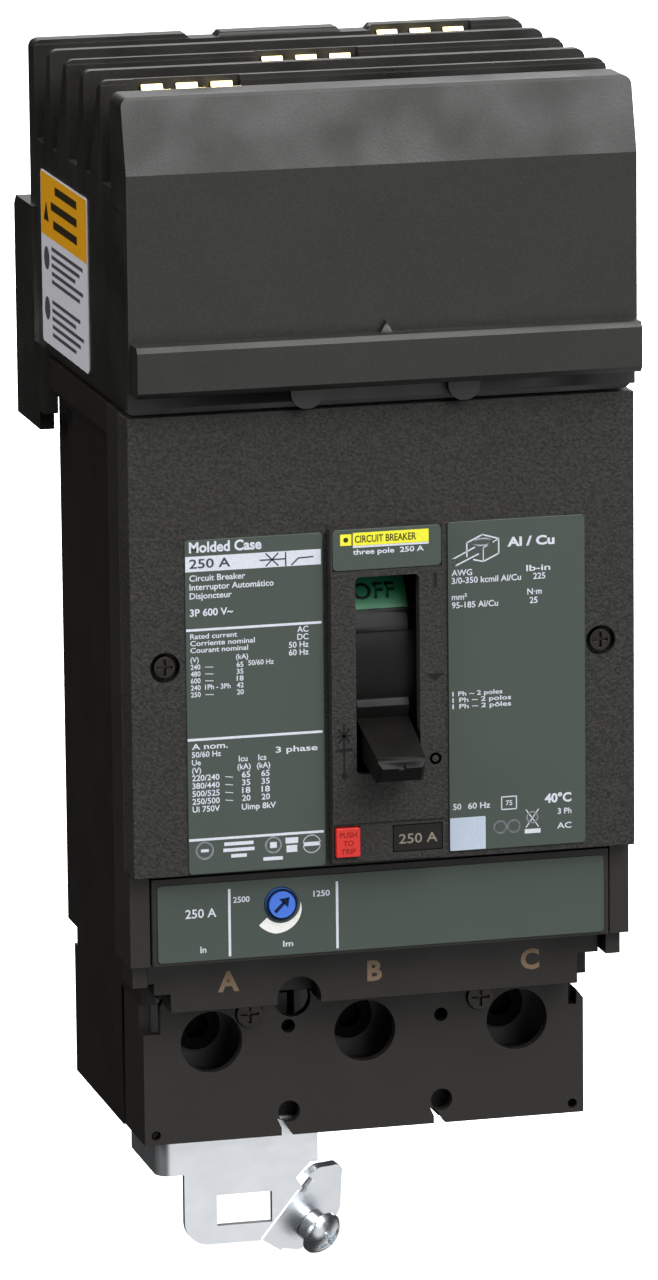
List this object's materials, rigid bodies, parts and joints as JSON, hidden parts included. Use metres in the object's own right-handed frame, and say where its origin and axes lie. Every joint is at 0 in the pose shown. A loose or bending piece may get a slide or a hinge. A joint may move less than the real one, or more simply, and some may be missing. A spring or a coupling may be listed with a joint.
{
  "type": "molded case circuit breaker",
  "caption": "Upright three-pole molded case circuit breaker with plug-on bus jaws, toggle handle, trip dial and button, lugs behind a shield, and a steel mounting bracket.",
  "frame": {"origin": "centre of the flat mounting face at the back of the base", "axes": "+Z towards the line (bus) end, -Y out of the front cover, +X to the right seen from the front"},
  "size_m": [0.106, 0.1115, 0.2467],
  "materials": {
    "base_plastic": "moulded, fine matte",
    "cover_plastic": "moulded, coarse spark-eroded texture",
    "case_plastic": "moulded, fine matte",
    "housing_plastic": "moulded, satin",
    "shield_plastic": "moulded, fine matte",
    "label_green": "printed foil",
    "insert_black": "moulded",
    "sticker_blue": "printed paper",
    "sticker_white": "printed film",
    "handle_black": "moulded, semi-gloss",
    "flag_green": "printed",
    "flag_white": "printed",
    "button_red": "moulded",
    "dial_blue": "moulded",
    "bar_tan": "moulded",
    "rotor_brown": "moulded thermoset",
    "zinc_steel": "bright zinc plated",
    "spring_steel": "bright drawn",
    "chute_steel": "nickel plated sheet",
    "copper": "bare copper",
    "jaw_plate": "plated copper alloy",
    "silver_contact": "silver alloy",
    "lug_aluminium": "tin plated",
    "bimetal": "rolled strip"
  },
  "bodies": {
    "case": {"base_case": "base_plastic", "case_cover": "case_plastic", "accessory_cover": "cover_plastic", "escutcheon": "case_plastic", "line_housing": "housing_plastic", "line_front": "housing_plastic", "trip_unit_case": "case_plastic", "trip_label": "label_green", "phase_strip": "shield_plastic", "terminal_shield": "shield_plastic", "left_label": "label_green", "right_label": "label_green", "top_label": "label_green", "rating_insert": "insert_black", "blank_sticker": "sticker_blue", "side_sticker": "sticker_white", "trip_button_spring": "spring_steel", "cover_screws": "zinc_steel", "shield_screws": "zinc_steel", "case_screws": "zinc_steel", "jaws_a": "jaw_plate", "jaws_b": "jaw_plate", "jaws_c": "jaw_plate", "jaw_springs": "spring_steel", "line_straps": "copper", "load_straps": "copper", "fixed_contacts": "silver_contact", "arc_chutes_line": "chute_steel", "arc_chutes_load": "chute_steel", "mechanism_plates": "zinc_steel", "handle_pivot": "spring_steel", "latch": "spring_steel", "magnet_yokes": "chute_steel", "bimetals": "bimetal", "lugs": "lug_aluminium", "lug_screws": "zinc_steel", "bracket": "zinc_steel", "bracket_rivets": "zinc_steel", "bracket_screw": "zinc_steel"},
    "handle": {"handle": "handle_black", "handle_shutter": "handle_black", "off_flag": "flag_green", "on_flag": "flag_white", "handle_yoke": "zinc_steel", "main_springs": "spring_steel"},
    "rotor": {"rotor_drums": "rotor_brown", "contact_bars": "copper", "rotor_rods": "zinc_steel", "drive_links": "zinc_steel"},
    "trip_button": {"trip_button": "button_red"},
    "trip_bar": {"trip_bar": "bar_tan"},
    "trip_dial": {"trip_dial": "dial_blue"}
  },
  "joints": [
    {"name": "handle_tilt", "type": "hinge", "parent": "case", "child": "handle", "pos_m": [0, -0.058, 0.0227], "axis": [-1, 0, 0], "range_deg": [0, 48]},
    {"name": "rotor_turn", "type": "hinge", "parent": "case", "child": "rotor", "pos_m": [0, -0.034, 0.02], "axis": [-1, 0, 0], "range_deg": [0, 36]},
    {"name": "trip_button_push", "type": "slide", "parent": "case", "child": "trip_button", "axis": [0, 1, 0], "range_m": [0, 0.0025], "stiffness_N_per_m": 400, "springref_m": -0.0005},
    {"name": "trip_bar_turn", "type": "hinge", "parent": "case", "child": "trip_bar", "pos_m": [0, -0.062, -0.016], "axis": [-1, 0, 0], "range_deg": [0, 33.5]},
    {"name": "trip_dial_turn", "type": "hinge", "parent": "case", "child": "trip_dial", "pos_m": [-0.021, -0.0825, -0.0244], "axis": [0, 1, 0], "range_deg": [0, 270]}
  ],
  "couplings": [
    {"joint": "rotor_turn", "follows": "handle_tilt", "ratio": 0.75},
    {"joint": "trip_bar_turn", "follows": "trip_button_push", "rad_per_m": 230.38}
  ]
}
